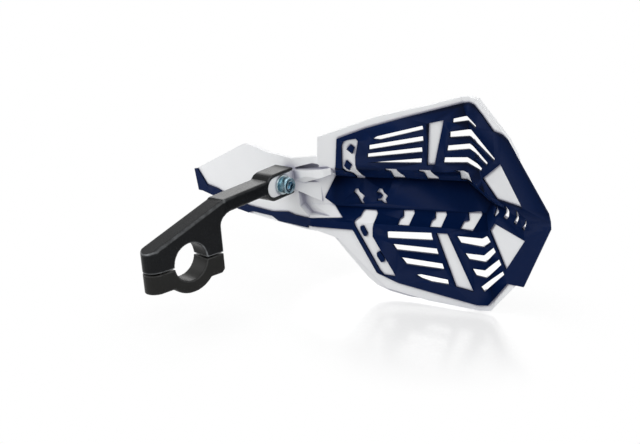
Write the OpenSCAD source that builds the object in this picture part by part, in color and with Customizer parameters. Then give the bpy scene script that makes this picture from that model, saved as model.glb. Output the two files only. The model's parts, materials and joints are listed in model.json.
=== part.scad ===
// Right-hand guard for a motorcycle handlebar.
// The origin is the centre of the bar bore. +X runs along the bar towards its outer end,
// +Y points forward, away from the rider, and +Z points up.

/* [Handlebar clamp] */
// Diameter of the handlebar that the clamp holds
bar_d = 22.2; // [22:0.1:23]
// Width of the clamp and the arm along the bar
clamp_w = 13.6; // [12:0.1:18]
// Outer radius of the arch under the bar
arch_r = 18.2; // [16:0.1:20]
// Distance of the rear clamp screw behind the bar axis
rear_screw_y = 20.6; // [19:0.1:24]
// Distance of the front clamp screw ahead of the bar axis
front_screw_y = 17; // [16.5:0.1:20]
// Metal between the front screw's axis and the front face of the lug
front_lug = 5.8; // [5.4:0.1:8]
// Height of the cap's feet below the bar axis
foot_depth = 12.8; // [12:0.1:15]
// Depth of the split line below the bar axis
split_drop = 1; // [0:0.1:2]
// Gap between the two clamp halves
split_gap = 1; // [0.4:0.1:1.6]

/* [Arm] */
// Distance from the bar axis to the bend, along Y
bend_y = 26.8; // [25:0.1:32]
// Height of the arm's top above the bar axis
arm_top = 29.6; // [28:0.1:34]
// Height of the arm behind the fork
arm_h = 8.4; // [7:0.1:10]
// Slope of the arm's top over the clamp, in degrees
rise = 18.8; // [14:0.2:20]
// Turn of the outer part of the arm, in degrees
arm_yaw = 10; // [6:0.5:14]
// Radius on the long edges of the arm
arm_edge = 1.6; // [0.8:0.1:2.4]
// Radius under the arm, ahead of the clamp
web_r = 7; // [4:0.5:8]

/* [Fork] */
// Distance from the bar axis to the guard bolt, along the turned arm
bolt_y = 76; // [74:0.1:84]
// Height of the guard bolt above the bar axis
bolt_z = 24.2; // [23:0.1:26]
// Gap between the washer's rim and each tine
washer_gap = 0.2; // [0.1:0.05:0.8]
// Thickness of each tine
tine = 2; // [1.6:0.1:3]
// Length of the tines ahead of the bolt
tine_reach = 10; // [8:0.1:12]
// Distance from the bolt to the middle of the fork's round end
fork_back = 6.8; // [5:0.1:9]
// Thickness of the wall behind the tongue
fork_wall = 3.8; // [3:0.1:5]
// Depth of the tongue's face below the front of the fork
tongue_recess = 0.6; // [0.3:0.1:1.2]
// Gap between the tongue and the tines
tongue_gap = 0.25; // [0.15:0.05:0.4]

/* [Fasteners] */
// Thread diameter of the guard bolt
bolt_d = 6; // [5:0.5:6]
// Head diameter of the guard bolt
bolt_head_d = 9.6; // [9:0.1:10.4]
// Head height of the guard bolt
bolt_head_h = 5.2; // [4:0.1:6]
// Outer diameter of the washers under the guard bolt and its nut
washer_d = 12; // [11:0.1:13]
// Thickness of these washers
washer_t = 1.2; // [0.8:0.1:1.6]
// Nut width across its flats
nut_af = 10; // [9:0.5:10]
// Nut height, with its locking collar
nut_h = 6; // [5:0.1:7]
// Outer diameter of the sleeve in the tongue
sleeve_d = 8.6; // [8:0.1:9]
// Thread diameter of the clamp screws
screw_d = 5; // [4:0.5:5]
// Head diameter of the clamp screws
screw_head_d = 8.5; // [8:0.1:8.6]
// Head height of the clamp screws
screw_head_h = 5; // [4:0.1:5]
// Length of the clamp screws under the head
screw_len = 16; // [14:0.5:18]
// Radial gap round every screw in its hole
screw_gap = 0.1; // [0.05:0.01:0.15]

/* [Shield] */
// Distance of the shield's middle line ahead of the bar axis
shield_y = 89; // [88:0.5:94]
// Outward shift of the shield's origin along the bar
shield_x = 17.5; // [16:0.5:20]
// Height of the shield's middle line where it leaves the neck
shield_z = 18.4; // [17:0.1:20]
// Forward sweep of the shield, in degrees
shield_yaw = 16; // [13:0.5:18]
// Rise of the shield towards its outer end, in degrees
shield_roll = 4; // [2:0.5:6]
// Backward tilt of the shield's top, in degrees
shield_tilt = 5; // [3:0.5:7]
// Backward lean of the upper and the lower panel, in degrees
lean = 10; // [6:0.5:12]
// Backward fold of the outer end, in degrees
fold = 27; // [22:0.5:30]
// Distance from the shield's origin to the fold line
fold_h = 108; // [106:0.5:112]
// Thickness of the white moulding
shell_t = 2.4; // [2:0.1:3.2]
// Thickness of the blue overmoulding
skin_t = 1.2; // [0.8:0.1:1.6]
// Half height of the channel at its mouth
channel_v = 17; // [16:0.1:18]
// Half height of the channel's floor
floor_v = 9.5; // [9:0.1:11]
// Depth of the channel
channel_d = 7; // [5:0.1:8]
// Depth of the pocket in the neck
pocket_d = 5; // [4:0.1:6]

/* [Outline] */
// Length of the white shield, outward from the shield's origin
shield_len = 142; // [136:0.5:150]
// Reach of the blue flange beyond the white shield
flange = 15; // [12:0.5:20]
// Height of the shield's top corner above its middle line
shield_top = 64.5; // [62:0.5:70]
// Depth of the shield's lowest corner below its middle line
shield_low = 63.5; // [61:0.5:70]
// Reach of the wing from the bar's middle towards the machine
wing_len = 109; // [100:0.5:120]
// Height of the wing's top corner above the bar axis
wing_top = 37.8; // [36:0.1:44]

/* [Hidden] */
$fn = 64;
eps = 0.01;
half_w = clamp_w / 2;
split_top = -split_drop + split_gap / 2;
split_bot = -split_drop - split_gap / 2;
lug_back = rear_screw_y + half_w;
lug_front = front_screw_y + front_lug;
arm_under = arm_top - arm_h;
arm_x = half_w * cos(arm_yaw) + bend_y * sin(arm_yaw) - half_w;
arm_start = bend_y * cos(arm_yaw) - half_w * sin(arm_yaw);
fork_centre = bolt_y - fork_back;
fork_gap = washer_d + 2 * washer_gap;
fork_in_r = fork_gap / 2;
fork_out_r = fork_in_r + tine;
fork_end = bolt_y + tine_reach;
tongue_face = half_w - tongue_recess;
tongue_back = -half_w + fork_wall;
tongue_r = fork_in_r - tongue_gap;
lean_slope = tan(lean);
fold_slope = tan(fold);
navy = [0.07, 0.14, 0.27];
white = [0.93, 0.93, 0.94];

// Outline of the white hexagon, from its upper left corner clockwise
shell_outline = [[7, 37], [20, 41], [52, 51], [86, shield_top - 6.5], [shield_len - 29, shield_top],
                 [shield_len - 21, shield_top - 0.5], [shield_len - 15, 57], [shield_len - 4, 44.5],
                 [shield_len, 36], [shield_len, -25], [shield_len - 12, -40],
                 [shield_len - 36, 0.5 - shield_low], [99, -shield_low], [66, 3.1 - shield_low],
                 [38.6, -55.2], [31.8, -49.8], [6.8, -27.4], [-12, -22.5], [-27, -22.5], [-27, 19],
                 [1, 19], [3, 25.5]];
// Outline of the blue overmoulding on the hexagon
skin_outline = [[20.8, 36.5], [42, 43.5], [69, 50.5], [shield_len - 29, shield_top - 3.5],
                [shield_len - 25, shield_top - 4], [shield_len - 20, 55], [shield_len - 14, 47],
                [shield_len - 8, 46.5], [shield_len - 4, 44], [shield_len + flange, 5],
                [shield_len + flange, -4], [shield_len - 8, -41], [shield_len - 21, -43],
                [shield_len - 37, 4 - shield_low], [98, 3.5 - shield_low], [47, -51], [33, -46],
                [18.5, -21.3], [-12.5, -20.8], [-30, -19.5], [-30, -16.4], [-11, -16.3],
                [11.5, -15.2], [-2.5, -4.8], [10, 12], [14.2, 18]];
// Outline of the neck and the wing, in X and Z
wing_outline = [[18, 42], [-8, 36.5], [-29, 36.3], [-47, wing_top + 0.5], [-55, wing_top],
                [-wing_len, 12], [3 - wing_len, -1], [8 - wing_len, -1], [19 - wing_len, -2],
                [-66, -7.5], [-28, -7.3], [2, -6.5], [18, -5]];
// Outline of the blue strip along the wing's lower edge, in X and Z
strip_outline = [[-wing_len, 12.5], [3 - wing_len, 13], [12 - wing_len, 3.7], [23 - wing_len, 3],
                 [-79, 1.5], [-54, -2.2], [-30, -1.5], [-14, 1.5], [-4, 0.3], [4, 0.8], [4, -4.8],
                 [-24, -6.3], [-30, -4.2], [-49.3, -5.1], [-54, -7], [-65, -6.5],
                 [19 - wing_len, -2.7], [7 - wing_len, -1.5], [2.5 - wing_len, -1.7]];

module place_arm() { rotate([0, 0, arm_yaw]) translate([arm_x, 0, 0]) children(); }

module place_bolt() { place_arm() translate([0, bolt_y, bolt_z]) rotate([0, 90, 0]) children(); }

module place_shield() {
    translate([shield_x, shield_y, shield_z])
        rotate([shield_tilt, -shield_roll, shield_yaw]) children();
}

// A side outline drawn in Y and Z, given its width along X
module along_x(w) { translate([-w / 2, 0, 0]) rotate([90, 0, 90]) linear_extrude(w) children(); }

// A rectangle with its two upper corners rounded, top edge on the X axis
module rounded_top(w, h, r) {
    translate([-w / 2, -h]) square([w, h - r]);
    translate([-w / 2 + r, -h]) square([w - 2 * r, h]);
    for (side = [-1, 1]) translate([side * (w / 2 - r), -r]) circle(r);
}

// A bar along Y with rounded long edges
module rounded_bar(w, h, len, r) {
    rotate([90, 0, 0]) mirror([0, 0, 1]) linear_extrude(len) {
        translate([-w / 2 + r, 0]) square([w - 2 * r, h]);
        translate([-w / 2, r]) square([w, h - 2 * r]);
        for (side = [-1, 1], z = [r, h - r]) translate([side * (w / 2 - r), z]) circle(r);
    }
}

// Plan of the clamp: a round rear end and a straight front
module clamp_plan(front) {
    translate([0, -rear_screw_y]) circle(half_w);
    translate([-half_w, -rear_screw_y]) square([clamp_w, rear_screw_y + front]);
}

module screw_hole(y, d, z0, z1) { translate([0, y, z0]) cylinder(h = z1 - z0, d = d); }

module bar_bore() { rotate([0, 90, 0]) cylinder(h = 2 * clamp_w, d = bar_d, center = true, $fn = 96); }

// Upper clamp half and the sloped part of the arm
module clamp_arm() {
    web_y = lug_front + web_r;
    difference() {
        intersection() {
            along_x(clamp_w) difference() {
                polygon([[-lug_back, split_top], [-lug_back, arm_top - (bend_y + lug_back) * tan(rise)],
                         [bend_y + web_r, arm_top + web_r * tan(rise)], [bend_y + web_r, arm_under], [web_y, arm_under],
                         [web_y, arm_under - web_r], [lug_front, arm_under - web_r],
                         [lug_front, split_top]]);
                translate([web_y, arm_under - web_r]) circle(web_r);
            }
            translate([0, 0, split_top]) linear_extrude(arm_top) clamp_plan(bend_y);
            translate([0, bend_y, arm_top]) rotate([rise, 0, 0]) translate([0, 2 * web_r, 0])
                rotate([90, 0, 0]) linear_extrude(2 * (bend_y + lug_back))
                    rounded_top(clamp_w, 2 * arm_top, arm_edge);
        }
        bar_bore();
        for (y = [-rear_screw_y, front_screw_y])
            screw_hole(y, screw_d + 2 * screw_gap, split_top - eps, screw_tip + screw_gap);
    }
}

// The end of the web under the turned part, where it runs out at y
module web_end(y) {
    if (y > arm_start) difference() {
        translate([arm_start, arm_under - web_r]) square([y - arm_start, web_r + arm_edge]);
        translate([y, arm_under - web_r]) circle(web_r);
    }
}

// Turned part of the arm, and the fork at its end
module fork() {
    difference() {
        union() {
            translate([0, arm_start, arm_under])
                rounded_bar(clamp_w, arm_h, fork_centre - arm_start, arm_edge);
            along_x(clamp_w) web_end(arm_start + lug_front + web_r - bend_y);
            along_x(clamp_w) translate([0, bolt_z]) {
                translate([fork_centre, 0]) circle(fork_out_r);
                translate([fork_centre, -fork_out_r])
                    square([fork_end - fork_centre - tine / 2, 2 * fork_out_r]);
                for (side = [-1, 1])
                    translate([fork_end - tine / 2, side * (fork_out_r - tine / 2)]) circle(tine / 2);
            }
        }
        translate([tongue_back, 0, bolt_z]) rotate([90, 0, 90]) linear_extrude(clamp_w) {
            translate([fork_centre, 0]) circle(fork_in_r);
            translate([fork_centre, -fork_in_r]) square([clamp_w + tine_reach + fork_back, fork_gap]);
        }
        translate([0, bolt_y, bolt_z]) rotate([0, -90, 0])
            cylinder(h = clamp_w, d = bolt_d + 2 * screw_gap);
    }
}

module arm() {
    color([0.13, 0.14, 0.15]) union() {
        clamp_arm();
        place_arm() fork();
    }
}

// Lower half of the clamp, with the screw heads sunk in its feet
module clamp_cap() {
    sink = screw_head_h + 0.3;
    color([0.16, 0.16, 0.16]) difference() {
        intersection() {
            along_x(clamp_w) {
                translate([-lug_back, -foot_depth])
                    square([lug_back + lug_front, foot_depth + split_bot]);
                intersection() {
                    circle(arch_r);
                    translate([-arch_r, -arch_r]) square([2 * arch_r, arch_r + split_bot]);
                }
            }
            translate([0, 0, -2 * arch_r]) linear_extrude(2 * arch_r) clamp_plan(lug_front);
        }
        bar_bore();
        for (y = [-rear_screw_y, front_screw_y]) {
            screw_hole(y, screw_d + 2 * screw_gap, -foot_depth - eps, 0);
            screw_hole(y, screw_head_d + 4 * screw_gap, -foot_depth - arch_r, -foot_depth + sink);
        }
    }
}

// Heights of the clamp screws' heads and tips
head_seat = -foot_depth + screw_head_h + 0.3;
screw_tip = head_seat + screw_len;

// A socket-cap screw along +Z, with its head below the origin
module cap_screw(d, len, head_d, head_h, hex) {
    chamfer = head_d * 0.05;
    difference() {
        union() {
            translate([0, 0, -head_h]) rotate_extrude() polygon([[0, 0], [head_d / 2 - chamfer, 0],
                [head_d / 2, chamfer], [head_d / 2, head_h], [0, head_h]]);
            translate([0, 0, -eps]) cylinder(h = len + eps, d = d);
        }
        translate([0, 0, -head_h - eps]) cylinder(h = head_h * 0.6, d = hex / cos(30), $fn = 6);
    }
}

module clamp_screws() {
    color("silver") for (y = [-rear_screw_y, front_screw_y])
        translate([0, y, head_seat]) cap_screw(screw_d, screw_len, screw_head_d, screw_head_h, 4);
}

// Parts on the guard bolt, along its axis from the nut to the head
head_x = tongue_face + washer_t;
nut_x = -half_w - washer_t;

module guard_bolt() {
    color([0.65, 0.75, 0.85]) place_bolt() translate([0, 0, head_x]) rotate([180, 0, 0])
        cap_screw(bolt_d, head_x - nut_x + nut_h + 1, bolt_head_d, bolt_head_h, 5);
}

module flat_washer() {
    difference() {
        cylinder(h = washer_t, d = washer_d);
        translate([0, 0, -eps]) cylinder(h = washer_t + 2 * eps, d = bolt_d + 2 * screw_gap);
    }
}

module bolt_washer() { color([0.7, 0.78, 0.85]) place_bolt() translate([0, 0, tongue_face]) flat_washer(); }

module nut_washer() { color([0.7, 0.78, 0.85]) place_bolt() translate([0, 0, nut_x]) flat_washer(); }

module spacer_sleeve() {
    color("silver") place_bolt() translate([0, 0, tongue_back]) difference() {
        cylinder(h = tongue_face - tongue_back, d = sleeve_d);
        translate([0, 0, -eps])
            cylinder(h = clamp_w, d = bolt_d + 2 * screw_gap);
    }
}

module lock_nut() {
    collar = nut_h * 0.3;
    color([0.7, 0.78, 0.85]) place_bolt() translate([0, 0, nut_x]) rotate([180, 0, 0]) difference() {
        union() {
            cylinder(h = nut_h - collar, d = nut_af / cos(30), $fn = 6);
            cylinder(h = nut_h, d = nut_af * 0.9);
        }
        translate([0, 0, -eps]) cylinder(h = nut_h + 1, d = bolt_d + 2 * screw_gap);
    }
}

// A block that fills the space ahead of a plane through [h, v], leaned by a and folded by b
module ahead_of(h, v, a, b) {
    translate([h, 0, v]) rotate([atan(tan(a) * cos(b)), 0, -b])
        translate([-300, 0, -300]) cube([600, 90, 600]);
}

// The channel's space, with a sloped and pointed outer end, made o longer at its inner end
module channel(o) {
    wall_v = 2 * channel_v - floor_v;
    intersection() {
        translate([-12 - o, 0, 0]) rotate([90, 0, 90]) linear_extrude(fold_h + 50)
            polygon([[channel_d, -floor_v], [channel_d, floor_v], [-channel_d, wall_v], [-channel_d, -wall_v]]);
        channel_end(-47);
        channel_end(34);
    }
}

// A block on the inner side of one face of the channel's pointed end
module channel_end(turn) {
    translate([fold_h + 10, 0, -2]) rotate([0, turn, 0]) translate([0, 0, -200]) linear_extrude(400)
        polygon([[-250, channel_d + 1], [-channel_d - 1, channel_d + 1], [channel_d + 1, -channel_d - 1],
                 [-250, -channel_d - 1]]);
}

// The pocket in the neck, from which the channel starts, grown by o
module pocket(o) {
    intersection() {
        through() polygon([[-19 - o, 12.8 + o], [-19 - o, -9.5 - o / 2], [-13.5 - o / 2, -13.8 - o],
                           [o, -13.8 - o], [o, 17.4 + o], [-4.4, 17.4 + o]]);
        translate([-60, shield_y - 20, -60]) cube([120, 20 + pocket_d - skin_t + o, 120]);
    }
}

// A flat shape that goes right through the shield, along its own depth
module through() { place_shield() rotate([90, 0, 0]) linear_extrude(100, center = true) children(); }

// A flat shape that goes right through the neck and the wing
module through_neck() { translate([0, shield_y, 0]) rotate([90, 0, 0]) linear_extrude(40, center = true) children(); }

// All the space ahead of the guard's rear surface, o further forward
module ahead(o) {
    difference() {
        intersection() {
            place_shield() translate([0, o, 0]) difference() {
                for (side = [-1, 1], b = [0, fold])
                    ahead_of(fold_h, side * channel_v, side * lean, b);
                channel(o);
            }
            union() {
                translate([-200, shield_y - skin_t + o, -100]) cube([400, 90, 200]);
                place_shield() translate([1 + o, -100, -100]) cube([300, 200, 200]);
            }
        }
        pocket(o);
    }
}

// One layer of the guard between two depths, cut to the outlines
module layer(o1, o2) {
    intersection() {
        difference() {
            ahead(o1);
            ahead(o2);
        }
        children();
    }
}

// Vents that go right through, then the windows in the blue layer only
module vents() {
    // upper louvres
    polygon([[45, 36.5], [80, 44.5], [80, 46]]);
    polygon([[40.5, 30], [78, 36.5], [78.5, 39.5], [41.5, 33]]);
    polygon([[38, 25], [75.5, 29.5], [76, 32.5], [39, 27.5]]);
    polygon([[36.5, 21.5], [73, 22.5], [74, 25.5]]);
    // upper bent louvres
    polygon([[99, 48], [109, 49.5], [114, 46], [115, 48], [109.5, 52.5], [100, 50.5]]);
    polygon([[95, 39], [107, 40], [123, 28], [124, 30], [110, 44.5], [96, 42.5]]);
    polygon([[91, 30.5], [105, 32], [115.5, 23.5], [117, 26], [106.5, 35.5], [92.5, 34]]);
    polygon([[87, 23], [101.5, 23.5], [109, 18.5], [111, 21], [103, 27], [88.5, 26.5]]);
    // lower louvres
    polygon([[42, -25], [72.5, -24.5], [71.5, -20.5], [42, -22]]);
    polygon([[47.5, -31.5], [75.5, -32.5], [74.5, -29], [45, -28]]);
    polygon([[53.5, -39.5], [78.5, -41], [77.5, -37.5], [50, -35.5]]);
    polygon([[59, -45], [80.5, -49], [80, -47]]);
    // lower bent louvres
    polygon([[90, -25], [104, -26.5], [109.3, -23], [107, -20], [104, -21.5], [87.5, -21]]);
    polygon([[94.5, -34], [105, -35], [113, -27.5], [111.5, -25.5], [104.5, -31], [92, -30.5]]);
    polygon([[98.5, -43], [105, -44], [117, -33.5], [115.5, -31], [104.5, -39.5], [96, -39]]);
    polygon([[103, -52], [119, -38.5], [118, -37], [101, -49.5]]);
    // outer end louvres
    polygon([[122, 0.8], [124.5, 0], [126, -2], [125.5, -4.5], [123.5, -7], [120.5, -6.5], [122.7, -4],
             [122.8, -2.2]]);
    polygon([[131.5, 1], [133, -1], [133.3, -3.7], [131, -8], [128.7, -7.4], [131.2, -4]]);
    polygon([[138.8, -2.5], [139.1, -4.6], [137, -9.7], [135, -8.7], [137.2, -6.2]]);
}

module windows() {
    // strips and end plates
    polygon([[76, 21], [81, 21.5], [92, 45], [94, 49.5], [84, 47.5]]);
    polygon([[74.5, -20], [82, -20], [96.5, -52.5], [85, -50.5]]);
    polygon([[117, 3], [137, 3.2], [127.5, 27.5], [109, 14]]);
    polygon([[113.5, -11.5], [137, -15], [120.5, -35.5], [109, -16.5]]);
    polygon([[111, 3.5], [110.8, -1.7], [115, -4], [116.5, -5.2], [113, -8.7], [111.8, -8], [113.7, -4.6],
             [109.6, -1.6]]);
    // clip plates, each with two blue islands
    difference() {
        polygon([[18.5, 18], [18.5, 14], [22, 12.5], [22.5, 8.5], [28, 8.5], [29, 10], [28, 11.5],
                 [28.5, 20], [30, 25], [35, 35.5], [34, 37], [28, 36], [25, 35], [22.5, 32]]);
        polygon([[29, 33], [31, 31], [28.5, 27], [25.5, 30]]);
        polygon([[23, 22.5], [25.5, 19.5], [22.5, 15.5], [20.5, 19]]);
    }
    difference() {
        polygon([[25, -10.5], [33, -10.5], [34.5, -12], [34, -14.5], [32.5, -19.5], [32, -24.5],
                 [45.5, -46.5], [45, -47.5], [37.5, -47], [35, -44.5], [20, -19], [19.5, -16.5],
                 [21, -15], [23, -14], [24, -11.5]]);
        polygon([[24, -19], [26, -18.5], [28.5, -23], [27.5, -24.5], [26, -24.5], [24, -21]]);
        polygon([[34, -34], [36, -33], [39, -37], [38.5, -39], [36.5, -39.5], [34, -36]]);
    }
    // tabs over the channel's edges
    for (h = [0, 22]) translate([h, 0])
        polygon([[47.5, 18], [55.5, 18], [56, 14], [57, 12], [56, 9.5], [48, 9.5], [50, 15.5], [47.5, 16.5]]);
    polygon([[91.5, 18.5], [98.5, 18.5], [101, 17], [101.5, 12], [101, 7.5], [97, 10], [92, 10.5], [95.5, 17]]);
    for (h = [0, 21]) translate([h, 0])
        polygon([[51, -10], [58, -9.7], [59, -11], [58.3, -13], [57, -17], [49.3, -17], [50, -14], [52, -13]]);
    polygon([[93, -9.5], [101.5, -8.5], [102, -10.5], [98, -18], [90, -17], [91.5, -13.5], [94.5, -13]]);
    // star shapes on the channel's floor
    polygon([[18.5, -0.5], [20.5, 1.8], [22.5, 2], [23, 0], [26, -2.5], [24, -5], [25, -7.7], [22.6, -7.5],
             [21.2, -4], [20, -2]]);
    polygon([[34.4, 0], [37, 2.7], [39, 2.5], [39.6, 0.3], [42, -1.8], [40, -4], [40.6, -7], [38.2, -6.7],
             [36.5, -5.2], [34, -5.4], [34.3, -4], [36.7, -3.7], [38, -2], [36.8, -0.5]]);
}

module shell() {
    color(white) {
        difference() {
            layer(skin_t, skin_t + shell_t) {
                through() polygon(shell_outline);
                through_neck() polygon(wing_outline);
            }
            through() vents();
        }
        place_arm() tongue();
        difference() {
            ribs();
            ahead(skin_t + shell_t / 2);
        }
    }
}

// Ribs that carry the tongue's load into the pocket and the channel
module ribs() {
    near = tongue_face - 3;
    rear = fork_end + 0.4;
    top = bolt_z + tongue_r;
    low = bolt_z - tongue_r;
    rib([[near, rear], [tongue_face + 1.5, rear], [19, rear - 4], [33, rear - 4.5], [36.5, rear - 1],
         [36.5, rear + 20], [near, rear + 20]],
        [[near, low + 5.6], [tongue_face, low + 5.6], [13, low + 4.6], [36.5, top + 1.6], [36.5, top + 5.7],
         [tongue_face, top], [near, top]],
        [[rear - 6, top + 8], [rear - 6, top + 1], [rear + 3, low + 3], [rear + 20, low + 3],
         [rear + 20, top + 8]]);
    rib([[near, rear], [tongue_face, rear], [22.6, rear + 5.6], [22.6, rear + 20], [near, rear + 20]],
        [[near, low], [tongue_face, low], [22.6, low - 7], [22.6, low + 5], [13, low + 4.8],
         [tongue_face, low + 6.2], [near, low + 6.2]],
        [[rear - 1, low - 10], [rear - 1, top], [rear + 20, top], [rear + 20, low - 10]]);
}

// A solid with a given plan, rear view and side view, all in the turned arm's axes
module rib(plan, view, side) {
    place_arm() intersection() {
        linear_extrude(100, center = true) polygon(plan);
        rotate([90, 0, 0]) linear_extrude(300, center = true) polygon(view);
        along_x(120) polygon(side);
    }
}

// The tongue that the fork holds, with the sleeve's seat
module tongue() {
    len = shield_y / cos(arm_yaw) - fork_centre + 0.4;
    difference() {
        translate([tongue_back, 0, bolt_z]) rotate([90, 0, 90]) linear_extrude(tongue_face - tongue_back) {
            translate([fork_centre, 0]) circle(tongue_r);
            translate([fork_centre, -tongue_r]) square([len, 2 * tongue_r]);
        }
        translate([-clamp_w, bolt_y, bolt_z]) rotate([0, 90, 0])
            cylinder(h = 2 * clamp_w, d = sleeve_d + 0.1);
    }
}

module grille() {
    color(navy) difference() {
        layer(0, skin_t) {
            through() polygon(skin_outline);
            through_neck() polygon(strip_outline);
        }
        through() {
            vents();
            windows();
        }
    }
}

arm();
clamp_cap();
clamp_screws();
shell();
grille();
guard_bolt();
bolt_washer();
spacer_sleeve();
nut_washer();
lock_nut();
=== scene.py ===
"""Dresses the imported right-hand motorcycle hand guard: rounded moulded edges, turned fasteners and finishes."""

import json
import logging
import math
from collections.abc import Iterable, Sequence
from dataclasses import dataclass, field
from enum import Enum

import bpy
from mathutils import Matrix, Vector

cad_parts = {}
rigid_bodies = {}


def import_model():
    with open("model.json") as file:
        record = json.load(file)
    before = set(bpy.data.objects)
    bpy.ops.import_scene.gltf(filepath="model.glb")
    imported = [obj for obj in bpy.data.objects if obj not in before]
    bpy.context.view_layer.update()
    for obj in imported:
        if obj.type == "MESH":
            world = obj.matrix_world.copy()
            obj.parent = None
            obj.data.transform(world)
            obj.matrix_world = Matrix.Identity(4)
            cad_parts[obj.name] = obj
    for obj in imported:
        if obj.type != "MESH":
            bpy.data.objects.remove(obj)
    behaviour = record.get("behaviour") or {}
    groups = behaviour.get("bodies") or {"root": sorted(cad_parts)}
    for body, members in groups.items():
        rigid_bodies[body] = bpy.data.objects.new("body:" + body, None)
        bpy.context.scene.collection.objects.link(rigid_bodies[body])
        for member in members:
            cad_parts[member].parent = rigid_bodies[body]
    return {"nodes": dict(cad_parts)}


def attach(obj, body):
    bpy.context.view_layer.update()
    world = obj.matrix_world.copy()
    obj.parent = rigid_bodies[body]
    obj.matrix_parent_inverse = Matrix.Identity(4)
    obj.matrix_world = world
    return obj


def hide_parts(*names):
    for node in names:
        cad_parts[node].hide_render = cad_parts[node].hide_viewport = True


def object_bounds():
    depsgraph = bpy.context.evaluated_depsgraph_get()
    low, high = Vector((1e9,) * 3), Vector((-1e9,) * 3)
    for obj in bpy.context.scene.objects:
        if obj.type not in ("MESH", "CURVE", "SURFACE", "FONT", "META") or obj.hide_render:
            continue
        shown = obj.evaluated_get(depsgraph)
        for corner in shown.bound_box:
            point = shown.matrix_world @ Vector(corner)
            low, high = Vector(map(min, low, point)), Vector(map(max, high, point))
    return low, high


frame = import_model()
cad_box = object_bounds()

LOG = logging.getLogger("hand_guard")
MM = 0.001
BODY = "root"
CAD_WELD = 0.002 * MM
MOULDED_SMOOTH = math.radians(32)
TURNED_SMOOTH = math.radians(28)
TURNED_EDGE = 0.12 * MM


class Slot(Enum):
    """Material slots of the record."""

    BLACK_METAL = "black_metal"
    BLACK_CAP = "black_cap"
    STEEL = "steel"
    WHITE = "white_plastic"
    BLUE = "blue_plastic"
    ZINC = "zinc"


# Shader building


class Value:
    """A shader socket that builds Math nodes from Python operators."""

    def __init__(self, shader: "Shader", socket: bpy.types.NodeSocket) -> None:
        """Wraps a socket.

        Args:
            shader: The material under construction.
            socket: The output that this value stands for.
        """
        self.shader = shader
        self.socket = socket

    def _maths(self, operation: str, *inputs: object) -> "Value":
        """Adds one Math node.

        Args:
            operation: The node's operation.
            inputs: Numbers or values, in the node's order.

        Returns:
            The node's result.
        """
        return self.shader.node("ShaderNodeMath", {"operation": operation}, dict(enumerate(inputs)))

    def __add__(self, other: object) -> "Value":
        """Returns self + other."""
        return self._maths("ADD", self, other)

    __radd__ = __add__

    def __sub__(self, other: object) -> "Value":
        """Returns self - other."""
        return self._maths("SUBTRACT", self, other)

    def __rsub__(self, other: object) -> "Value":
        """Returns other - self."""
        return self._maths("SUBTRACT", other, self)

    def __mul__(self, other: object) -> "Value":
        """Returns self * other."""
        return self._maths("MULTIPLY", self, other)

    __rmul__ = __mul__

    def clamp(self) -> "Value":
        """Returns self held between 0 and 1."""
        return self._maths("MINIMUM", self._maths("MAXIMUM", self, 0.0), 1.0)

    def band(self, low: float, high: float) -> "Value":
        """Returns 0 below low and 1 above high, smooth in between."""
        settings = {"interpolation_type": "SMOOTHSTEP"}
        return self.shader.node("ShaderNodeMapRange", settings, {"Value": self, "From Min": low, "From Max": high})


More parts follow.
